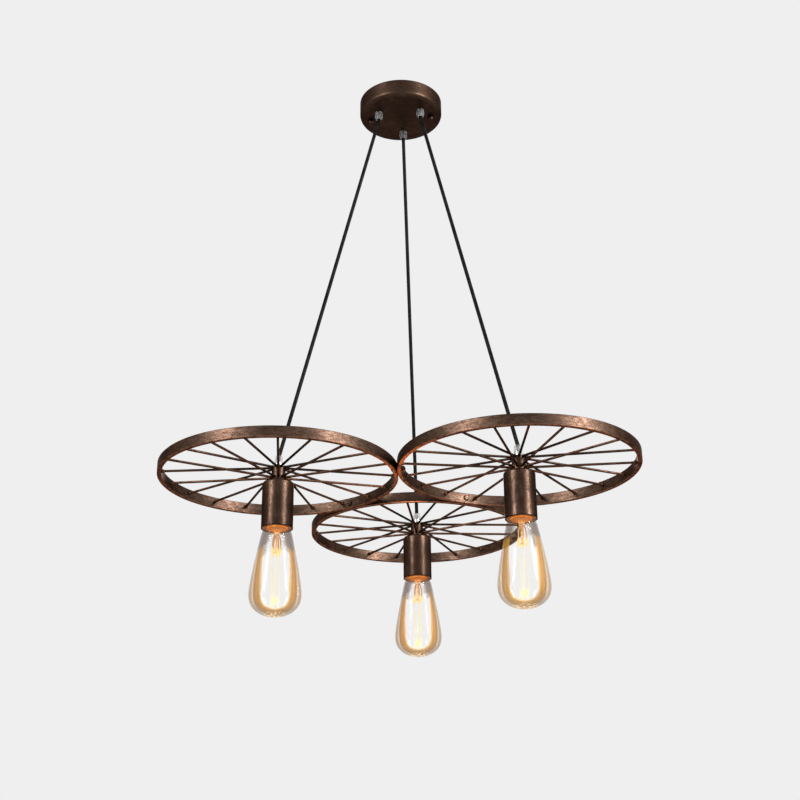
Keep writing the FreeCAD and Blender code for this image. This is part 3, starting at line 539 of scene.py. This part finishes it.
def lit_filament():
    """Glowing wire, hottest at its foot, with orange upper hooks on duller leads."""
    material, tree = finish_named("lit_filament")
    spot = spot_on_piece(tree)
    height = height_of(spot)
    uneven = noise(spot, UNEVEN_PER_METRE, 2.0)
    heat = 1.0 - band(height + (uneven - 0.5) * HEAT_WANDER, *WIRE_HEAT)
    hook = band(height, *HOOKS_BEGIN)
    lead = band(height + (uneven - 0.5) * LEAD_WANDER, *LEADS_BEGIN)
    glow = mix(hook * 0.9, mix(heat, WIRE_COOL, WIRE_HOT), HOOK_GLOW)
    show(tree.node("BsdfPrincipled", {}, {
        "Base Color": mix(heat, WIRE_DULL, WIRE_BRIGHT), "Roughness": 0.35 + uneven * 0.2,
        "Emission Color": mix(lead, glow, LEAD_GLOW), "Emission Strength": 1.0}))
    return material


# ---- finishes of the pieces -------------------------------------------------------------------

RIM_FOOT = -7 * MM              # levels from the wheels' middle
SPOKES_LOW, SPOKES_HIGH = -9 * MM, 3 * MM
COVER_TOP, COVER_MOUTH = -11 * MM, -71 * MM
HOLDER_MOUTH = -70.7 * MM

FINISHES = {
    # The rim's copper band along its lower edge is painted orange light of the bulbs.
    "rim": rust_bronze("rim_rust_bronze", light=1.0, patches=(0.38, 0.47),
                       copper=(RIM_FOOT - MM, RIM_FOOT + 0.7 * MM, 0.75)),
    "spoke": rust_bronze("spoke_rust_bronze", light=0.34, patches=(0.16, 0.53),
                         copper=(SPOKES_LOW, SPOKES_HIGH, 0.24)),
    "cover": rust_bronze("cover_rust_bronze", light=1.0, patches=(0.35, 0.49),
                         copper=(COVER_TOP - 1.2 * MM, COVER_TOP, 0.3), roughness=0.34,
                         grain=UPRIGHT_GRAIN, black_below=COVER_MOUTH + 0.8 * MM),
    "rust_bronze": rust_bronze("rust_bronze", light=0.70, patches=(0.30, 0.52),
                               copper=(COVER_TOP - MM, COVER_TOP, 0.3)),
    "cord_black": moulded("cord_black", rgb(0.002, 0.002, 0.0023), 0.46, shine=0.04),
    "clear_plastic": clear_plastic(),
    "plated_steel": plated("plated_steel", rgb(0.60, 0.59, 0.56), 0.28, rgb(0.32, 0.29, 0.24)),
    # The holder's mouth glows with painted orange light of the bulb.
    "holder_black": moulded("holder_black", rgb(0.010, 0.009, 0.009), 0.45, grain=900.0, shine=0.12,
                            glow_above=HOLDER_MOUTH + 0.25 * MM),
    "contact_brass": plated("contact_brass", rgb(0.78, 0.52, 0.22), 0.24, rgb(0.42, 0.24, 0.09)),
    "cap_nickel": plated("cap_nickel", rgb(0.70, 0.64, 0.54), 0.26, rgb(0.44, 0.36, 0.26)),
    "insulator_black": moulded("insulator_black", rgb(0.015, 0.015, 0.019), 0.10, grain=500.0),
    "amber_glass": amber_glass(),
    "stem_glass": stem_glass(),
    "lit_filament": lit_filament(),
    "terminal_white": moulded("terminal_white", rgb(0.72, 0.71, 0.68), 0.42),
}
NODE_FINISH = {"rim": "rim", "lower_spokes": "spoke", "upper_spokes": "spoke",
               "socket_cover": "cover"}


def paint(piece, finish):
    piece.data.materials.clear()
    piece.data.materials.append(FINISHES[finish])


slots = {part["node"]: part["material_slot"] for part in frame["record"]["subparts"]}
for name, node in frame["nodes"].items():
    kind = name.rsplit("_", 1)[0]
    paint(node, NODE_FINISH.get(kind, slots[name]))
for cord in cords:
    paint(cord, "cord_black")


# ---- modelling --------------------------------------------------------------------------------

MERGE_WITHIN = 0.002 * MM
SMOOTH_UNDER = math.radians(35)
WIRE_STEPS, WIRE_ROUNDNESS = 4, 2


def settle(piece):
    """Out of edit mode, with doubles merged, normals outward and the place in the mesh."""
    bpy.ops.mesh.select_all(action="SELECT")
    bpy.ops.mesh.remove_doubles(threshold=MERGE_WITHIN)
    bpy.ops.mesh.normals_make_consistent(inside=False)
    bpy.ops.object.mode_set(mode="OBJECT")
    bpy.ops.object.transform_apply(location=True, rotation=True, scale=True)
    bpy.ops.object.shade_smooth_by_angle(angle=SMOOTH_UNDER)
    return piece


def apply_modifier(piece, kind, **settings):
    bpy.context.view_layer.objects.active = piece
    modifier = piece.modifiers.new(kind.lower(), kind)
    for key, value in settings.items():
        setattr(modifier, key, value)
    bpy.ops.object.modifier_apply(modifier=modifier.name)


def turn_on_lathe(name, rings, sides):
    """A turned piece on the wheel's axis: a circle carried from ring to ring of (radius, level)
    in millimetres. A last ring of radius 0 closes it in a pole, and one equal to the first
    closes it round a hole."""
    bpy.ops.object.select_all(action="DESELECT")
    radius, level = rings[0]
    bpy.ops.mesh.primitive_circle_add(vertices=sides, radius=radius * MM,
                                      location=(0, 0, level * MM))
    piece = bpy.context.object
    piece.name = name
    bpy.ops.object.mode_set(mode="EDIT")
    bpy.ops.mesh.select_all(action="SELECT")
    for (wide, high), (next_wide, next_high) in zip(rings, rings[1:]):
        bpy.ops.mesh.extrude_region_move(
            TRANSFORM_OT_translate={"value": (0, 0, (next_high - high) * MM)})
        if next_wide == 0:
            bpy.ops.mesh.merge(type="CENTER")
        elif next_wide != wide:
            share = next_wide / wide
            bpy.ops.transform.resize(value=(share, share, 1),
                                     center_override=(0, 0, next_high * MM))
    return settle(piece)


def bent_wire(name, spots, radius):
    """A round wire through spots in millimetres, made a mesh."""
    curve = bpy.data.curves.new(name, "CURVE")
    curve.dimensions = "3D"
    line = curve.splines.new("NURBS")
    line.points.add(len(spots) - 1)
    for point, spot in zip(line.points, spots):
        point.co = (*(Vector(spot) * MM), 1)
    line.order_u = 3
    line.use_endpoint_u = True
    curve.resolution_u = WIRE_STEPS
    curve.bevel_depth = radius * MM
    curve.bevel_resolution = WIRE_ROUNDNESS
    curve.use_fill_caps = True
    piece = bpy.data.objects.new(name, curve)
    bpy.context.scene.collection.objects.link(piece)
    bpy.ops.object.select_all(action="DESELECT")
    piece.select_set(True)
    bpy.context.view_layer.objects.active = piece
    bpy.ops.object.convert(target="MESH")
    bpy.ops.object.mode_set(mode="EDIT")
    return settle(bpy.context.object)


def join(name, pieces):
    bpy.ops.object.select_all(action="DESELECT")
    for piece in pieces:
        piece.select_set(True)
    bpy.context.view_layer.objects.active = pieces[0]
    bpy.ops.object.join()
    joined = bpy.context.object
    joined.name = name
    return joined


def copy_moved(piece, name, change):
    """A copy with its own mesh, placed in the mesh."""
    copy = piece.copy()
    copy.data = piece.data.copy()
    copy.name = name
    bpy.context.scene.collection.objects.link(copy)
    copy.data.transform(change)
    return copy


def fit(piece, body, finish, replaced=()):
    """Paints a finished piece and lets it ride on its body."""
    paint(piece, finish)
    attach(piece, body)
    if replaced:
        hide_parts(*replaced)


def on_each_wheel(piece, body, slot, replaced):
    """Copies a piece modelled on the wheel's axis to all three wheels, then drops the first."""
    for wheel in WHEELS:
        copy = copy_moved(piece, "%s_%s" % (piece.name, wheel), Matrix.Translation(CENTRE[wheel]))
        fit(copy, body.replace("WHEEL", wheel), slot, [replaced + "_" + wheel])
    bpy.data.objects.remove(piece)


def spread(piece, shares):
    """Moves every vertex towards or away from the axis, by a share for its number and place."""
    for number, vertex in enumerate(piece.data.vertices):
        share = shares(number, vertex.co)
        vertex.co.x *= share
        vertex.co.y *= share


def levels_between(low, high, count):
    return [low + (high - low) * i / count for i in range(count + 1)]


# ---- bulb glass -------------------------------------------------------------------------------

GLASS_RINGS = (                 # outside of the glass, radius and level in millimetres
    (12.2, -57.9), (12.2, -58.4), (12.2, -66.0), (12.2, -70.2), (12.9, -71.7), (16.4, -73.3),
    (18.6, -76.4), (20.2, -84.0), (23.3, -99.0), (27.4, -118.5), (30.6, -137.5),
    (32.15, -149.5), (32.15, -157.0), (30.8, -163.7), (27.5, -169.6), (22.2, -174.7),
    (14.8, -178.4), (7.8, -180.15), (3.6, -180.5), (2.6, -181.0), (1.2, -181.4), (0, -181.4),
)
GLASS_SIDES = 40
GLASS_WALL = 0.9
GLASS_ROUNDING = 2


def bulb_glass():
    """Pear-shaped glass with a sealed tip. The rings are rounded, then walled inwards."""
    glass = turn_on_lathe("bulb_envelope", GLASS_RINGS, GLASS_SIDES)
    apply_modifier(glass, "SUBSURF", levels=GLASS_ROUNDING, render_levels=GLASS_ROUNDING)
    apply_modifier(glass, "SOLIDIFY", thickness=GLASS_WALL * MM, offset=-1.0, use_rim=True)
    bpy.ops.object.shade_smooth()
    return glass


# ---- screw thread, cap and shell --------------------------------------------------------------

THREAD_PITCH = 3.62
THREAD_SIDES = 72
CAP_TOP, CAP_LOW = -45.3, -65.8
CAP_THREAD_TOP, CAP_THREAD_LOW = CAP_TOP - 4.6, CAP_LOW + 1.0
CAP_CREST, CAP_ROOT = 13.0, 12.45
CAP_FOOT = CAP_CREST - 0.1
CAP_WALL = 0.35
CAP_SHOULDER = (                # radius, and level under the cap's top
    (12.4, 3.4), (11.2, 1.9), (7.6, 0.15), (7.05, 0.0), (7.05, 0.5), (10.9, 2.4), (11.9, 4.0),
)
CAP_STEPS = 44
CAP_THREAD_FADE = 1.5
SHELL_LOW, SHELL_TOP = -64.7, -39.3
SHELL_CREST, SHELL_WALL = 13.55, 0.42
SHELL_OUTSIDE = SHELL_CREST + SHELL_WALL
SHELL_HOLE = 9.0
SHELL_LIP = SHELL_TOP - 0.45
SHELL_STEPS = 48
SHELL_THREAD_TOP, SHELL_THREAD_LOW = SHELL_TOP - 3.0, SHELL_LOW - 0.1
SHELL_THREAD_DEPTH, SHELL_THREAD_FADE = 0.4, 1.0


def wind_thread(piece, low, high, depth, fade):
    """Pushes a turned wall in between the crests of a right-handed rolled thread, or out where
    depth is under 0. The thread fades over a short length at both ends."""

    def share(_, place):
        level = place.z / MM
        if not low <= level <= high:
            return 1.0
        turn = math.atan2(place.y, place.x) / math.tau
        wave = 0.5 - 0.5 * math.cos(math.tau * (level / THREAD_PITCH - turn))
        full = max(0.0, min(1.0, (level - low) / fade, (high - level) / fade))
        return 1 - depth * MM * wave * full / math.hypot(place.x, place.y)

    spread(piece, share)


def bulb_cap():
    """Rolled screw cap, open at its foot and at the insulator's seat."""
    levels = levels_between(CAP_THREAD_LOW, CAP_THREAD_TOP, CAP_STEPS)
    rings = ([(CAP_FOOT, CAP_LOW)]
             + [(CAP_CREST, level) for level in levels]
             + [(radius, CAP_TOP - drop) for radius, drop in CAP_SHOULDER]
             + [(CAP_CREST - CAP_WALL, level) for level in reversed(levels)]
             + [(CAP_FOOT - CAP_WALL, CAP_LOW), (CAP_FOOT, CAP_LOW)])
    cap = turn_on_lathe("bulb_screw_cap", rings, THREAD_SIDES)
    wind_thread(cap, CAP_THREAD_LOW, CAP_THREAD_TOP, CAP_CREST - CAP_ROOT, CAP_THREAD_FADE)
    return cap


def screw_shell():
    """Thin brass shell, rolled to the cap's thread, with a lip round the centre contact."""
    levels = levels_between(SHELL_LIP, SHELL_LOW, SHELL_STEPS)
    rings = ([(SHELL_HOLE, SHELL_LIP)]
             + [(SHELL_CREST, level) for level in levels]
             + [(SHELL_OUTSIDE, level) for level in reversed(levels)]
             + [(SHELL_OUTSIDE, SHELL_TOP), (SHELL_HOLE, SHELL_TOP), (SHELL_HOLE, SHELL_LIP)])
    shell = turn_on_lathe("rolled_screw_shell", rings, THREAD_SIDES)
    wind_thread(shell, SHELL_THREAD_LOW, SHELL_THREAD_TOP, -SHELL_THREAD_DEPTH,
                SHELL_THREAD_FADE)
    spread(shell, lambda _, place: min(1.0, SHELL_OUTSIDE * MM / math.hypot(place.x, place.y)))
    return shell


# ---- filament ---------------------------------------------------------------------------------

FILAMENT_TOP, FILAMENT_LOW = -97.3, -163.2
PRESS_END, ROD_END = -81.3, -103.3
CAGE_WIDE, CAGE_NARROW = 7.0, 5.6
HOOKS = 5
STAR_PRONGS = 7
STAR_TURN = 0.35                # share of a step that the first prong is turned
PRONG_SIZES = ((4.4, 6.2), (6.2, 4.4))          # reach from the axis and drop, in turn
STRAND_BENDS = (-112.0, -128.0, -146.0)
SWAY_UP, SWAY_DOWN = 0.7, -0.6
CURL_RADIUS, CURL_SPREAD = 3.8, 0.7             # lower ends of the upper hooks
CURL_LEVEL, CURL_STAGGER = FILAMENT_TOP - 7.5, 1.4
CURL_TURN, BARB_TURN = 0.3, 0.4
UPPER_HOOK = ((2.6, PRESS_END + 2.0), (4.6, PRESS_END - 1.5), (5.4, PRESS_END - 10.0),
              (5.2, FILAMENT_TOP - 3.0))
CAGE_HOOK = ((5.4, PRESS_END - 13.0), (CAGE_WIDE - 0.8, FILAMENT_TOP + 0.8),
             (CAGE_WIDE, FILAMENT_TOP - 0.4))
LOWER_HOOK = ((0.5, FILAMENT_LOW + 3.5), (2.8, FILAMENT_LOW + 2.6),
              (CAGE_NARROW - 0.2, FILAMENT_LOW + 1.2), (CAGE_NARROW + 0.1, FILAMENT_LOW - 0.8))
ROD = ((0, 0, ROD_END + 0.2), (0.3, 0, -125.0), (-0.2, 0.1, -145.0), (0, 0, FILAMENT_LOW + 2.4))
BEAD = ((0.4, FILAMENT_LOW + 4.4), (1.5, FILAMENT_LOW + 3.9), (1.9, FILAMENT_LOW + 3.0),
        (1.4, FILAMENT_LOW + 2.1), (0.4, FILAMENT_LOW + 1.7), (0, FILAMENT_LOW + 1.7))
BEAD_SIDES = 16
GAUGE = {"strand": 0.22, "upper_hook": 0.85, "cage_hook": 0.36, "lower_hook": 0.48,
         "star_prong": 0.55, "star_barb": 0.36, "rod": 0.34}


def ring_spot(radius, turn, level):
    return (radius * math.cos(turn), radius * math.sin(turn), level)


def along(profile, turn):
    """Spots down a profile of (radius, level), all at one angle round the axis."""
    return [ring_spot(radius, turn, level) for radius, level in profile]


def strand_spots(number, step):
    """One run of the wire between an upper and a lower hook, with a slight sway."""
    up, down = number * step, (number + 1) * step
    sway = SWAY_DOWN
    if number % 2:
        up, down = down, up
        sway = SWAY_UP
    first, second, third = STRAND_BENDS
    return (ring_spot(CAGE_WIDE, up, FILAMENT_TOP),
            ring_spot(CAGE_WIDE + 0.5, up + 0.06 * sway, first),
            ring_spot(CAGE_WIDE - 0.8, (up * 2 + down) / 3 + 0.10 * sway, second),
            ring_spot(CAGE_NARROW + 0.5, (up + down * 2) / 3 - 0.08 * sway, third),
            ring_spot(CAGE_NARROW, down, FILAMENT_LOW))


def bulb_filament():
    """Squirrel cage: one fine wire up and down between upper and lower hooks, and the hooks,
    which spread from the stem's press above and from a star at the foot of its rod."""
    parts = []

    def add(name, spots):
        parts.append(bent_wire(name, spots, GAUGE[name]))

    step = math.pi / HOOKS
    for i in range(HOOKS * 2 - 1):
        add("strand", strand_spots(i, step))
    for i in range(HOOKS):
        turn = 2 * i * step
        curl = ring_spot(CURL_RADIUS + CURL_SPREAD * (i % 3), turn + CURL_TURN,
                         CURL_LEVEL - CURL_STAGGER * (i % 2))
        add("upper_hook", along(UPPER_HOOK, turn) + [curl])
        add("cage_hook", along(CAGE_HOOK, turn))
        add("lower_hook", along(LOWER_HOOK, turn + step))
    for i in range(STAR_PRONGS):
        turn = math.tau * (i + STAR_TURN) / STAR_PRONGS
        reach, drop = PRONG_SIZES[i % 2]
        add("star_prong", along(((0, FILAMENT_LOW + 3.2), (reach * 0.55, FILAMENT_LOW + 0.8),
                                 (reach, FILAMENT_LOW - drop)), turn))
        add("star_barb", along(((0, FILAMENT_LOW + 2.6), (reach * 0.6, FILAMENT_LOW + 2.9),
                                (reach * 0.8, FILAMENT_LOW + 5.6)), turn + BARB_TURN))
    add("rod", ROD)
    parts.append(turn_on_lathe("bead", BEAD, BEAD_SIDES))
    return join("bulb_cage_filament", parts)


# ---- spokes' welds ----------------------------------------------------------------------------

RIM_INNER, HUB_RADIUS = 144.5, 8.75
SPOKE_RIM_LEVEL = 1.2
SPOKE_LEVELS = {"lower": -4.6, "upper": 8.0}
SPOKES = 10
FIRST_LOWER_SPOKE = {"left": 28.6, "right": 6.6, "back": 17.4}
RIM_BEAD = (1.0, 3.6)           # share of the full width, and length
HUB_BEAD = (0.82, 2.2)
WELD_SIDES = 14
WELD_BORE = 1.50                # just inside the spoke's surface
LUMP_HEIGHT, LUMP_STEP = 0.07, 3.1
LUMPY_SHARE = 0.7               # of the bead's length, from the wall


def weld_bead(size, length):
    """A lumpy fillet round a spoke's end, wide at the wall it sits on. It points along +X."""
    bead = turn_on_lathe("weld_bead", (
        (2.45 * size, 0.0), (2.55 * size, length * 0.22), (2.2 * size, length * 0.5),
        (1.80, length * 0.86), (1.56, length), (WELD_BORE, length), (WELD_BORE, 0.0),
        (2.45 * size, 0.0)), WELD_SIDES)

    def lump(number, place):
        if place.z >= length * LUMPY_SHARE * MM:
            return 1.0
        return 1 + LUMP_HEIGHT * math.sin(LUMP_STEP * number)

    spread(bead, lump)
    bead.data.transform(Matrix.Rotation(math.pi / 2, 4, "Y"))
    return bead


def spoke_welds(wheel):
    """Beads where every spoke meets the rim's inside and the hub."""
    rim_bead, hub_bead = weld_bead(*RIM_BEAD), weld_bead(*HUB_BEAD)
    flip = Matrix.Rotation(math.pi, 4, "Z")
    outer = Matrix.Translation((RIM_INNER * MM, 0, SPOKE_RIM_LEVEL * MM))
    made = []
    for ring, hub_level in SPOKE_LEVELS.items():
        first = FIRST_LOWER_SPOKE[wheel] + (0 if ring == "lower" else 180 / SPOKES)
        slope = math.atan2(SPOKE_RIM_LEVEL - hub_level, RIM_INNER - HUB_RADIUS)
        tilt = Matrix.Rotation(-slope, 4, "Y")
        inner = Matrix.Translation((HUB_RADIUS * MM, 0, hub_level * MM))
        for i in range(SPOKES):
            turn = (Matrix.Translation(CENTRE[wheel])
                    @ Matrix.Rotation(math.radians(first + 360 * i / SPOKES), 4, "Z"))
            made.append(copy_moved(rim_bead, "weld", turn @ outer @ tilt @ flip))
            made.append(copy_moved(hub_bead, "weld", turn @ inner @ tilt))
    bpy.data.objects.remove(rim_bead)
    bpy.data.objects.remove(hub_bead)
    fit(join("spoke_welds_" + wheel, made), "wheels", "spoke")


# ---- the pieces -------------------------------------------------------------------------------

on_each_wheel(bulb_glass(), "bulb_WHEEL", "amber_glass", "bulb_glass")
on_each_wheel(bulb_cap(), "bulb_WHEEL", "cap_nickel", "bulb_cap")
on_each_wheel(bulb_filament(), "bulb_WHEEL", "lit_filament", "bulb_filament")
on_each_wheel(screw_shell(), "wheels", "contact_brass", "screw_shell")
for wheel in WHEELS:
    spoke_welds(wheel)
    bpy.data.objects["bulb_envelope_" + wheel].visible_shadow = False


# ---- light and surroundings -------------------------------------------------------------------

PALE = rgb(0.863, 0.863, 0.863)
AMBIENT_WHITE = rgb(1.0, 0.99, 0.98)
AMBIENT = 0.14
FLOOR_LEVEL = -2.4
FLOOR_RADIUS = 6.0
FLOOR_SIDES = 96
FLOOR_GLOW = 0.84               # share of the floor that doesn't take light
CLUSTER = Vector((0.0, 0.0, -0.62))
SOFTBOXES = {                   # place, width, height and watts
    "left_softbox": ((-1.65, -1.84, 0.30), 0.54, 1.4, 78.0),
    "right_softbox": ((1.90, -1.10, 0.30), 0.54, 1.4, 112.0),
    "back_softbox": ((-0.25, 2.60, 0.10), 0.90, 1.4, 18.0),
}
BULB_WATTS = 0.55
BULB_WARMTH = (1.0, 0.60, 0.33)
BULB_SOFTNESS = 30 * MM
BULB_DROP = 110 * MM            # of the warm lamp below the wheels


def seen_directly(tree):
    """1 where the surroundings are seen, mirrored or seen through, 0 where they light the object."""
    rays = tree.node("LightPath").socket.node.outputs
    camera, glossy, through = [Value(tree.tree, rays[name]) for name in
                               ("Is Camera Ray", "Is Glossy Ray", "Is Transmission Ray")]
    return camera.at_least(glossy.at_least(through))


def pale_world():
    world = bpy.data.worlds.new("studio")
    bpy.context.scene.world = world
    tree = empty_tree(world)
    shown = tree.node("Background", {}, {"Color": PALE, "Strength": 1.0})
    ambient = tree.node("Background", {}, {"Color": AMBIENT_WHITE, "Strength": AMBIENT})
    light = tree.node("MixShader", {}, {0: seen_directly(tree), 1: ambient, 2: shown})
    tree.node("OutputWorld", {}, {"Surface": light})


def pale_floor():
    """A matt floor. Part of what is seen of it is its own pale colour, and the rest takes shadows."""
    bpy.ops.object.select_all(action="DESELECT")
    bpy.ops.mesh.primitive_circle_add(vertices=FLOOR_SIDES, radius=FLOOR_RADIUS, fill_type="NGON",
                                      location=(0, 0, FLOOR_LEVEL))
    floor = bpy.context.object
    floor.name = "floor"
    material, tree = finish_named("pale_floor")
    matt = tree.node("BsdfPrincipled", {}, {"Base Color": PALE, "Roughness": 0.9})
    pale = tree.node("Emission", {}, {"Color": PALE, "Strength": 1.0})
    show(tree.node("MixShader", {}, {0: seen_directly(tree) * FLOOR_GLOW, 1: matt, 2: pale}))
    floor.data.materials.append(material)


def softbox(name, place, width, height, watts):
    data = bpy.data.lights.new(name, "AREA")
    data.shape = "RECTANGLE"
    data.size = width
    data.size_y = height
    data.energy = watts
    lamp = bpy.data.objects.new(name, data)
    bpy.context.scene.collection.objects.link(lamp)
    lamp.location = place
    lamp.rotation_mode = "QUATERNION"
    lamp.rotation_quaternion = (CLUSTER - Vector(place)).to_track_quat("-Z", "Y")


def bulb_glow():
    """Warm light of the three bulbs, from the middle of the cluster."""
    data = bpy.data.lights.new("bulb_glow", "POINT")
    data.energy = BULB_WATTS
    data.color = BULB_WARMTH
    data.shadow_soft_size = BULB_SOFTNESS
    lamp = bpy.data.objects.new("bulb_glow", data)
    bpy.context.scene.collection.objects.link(lamp)
    lamp.location = (0, 0, WHEEL_LEVEL - BULB_DROP)
    lamp.visible_camera = False
    lamp.visible_transmission = False


pale_world()
pale_floor()
for name, setting in SOFTBOXES.items():
    softbox(name, *setting)
bulb_glow()

bpy.context.scene.view_settings.view_transform = "Standard"
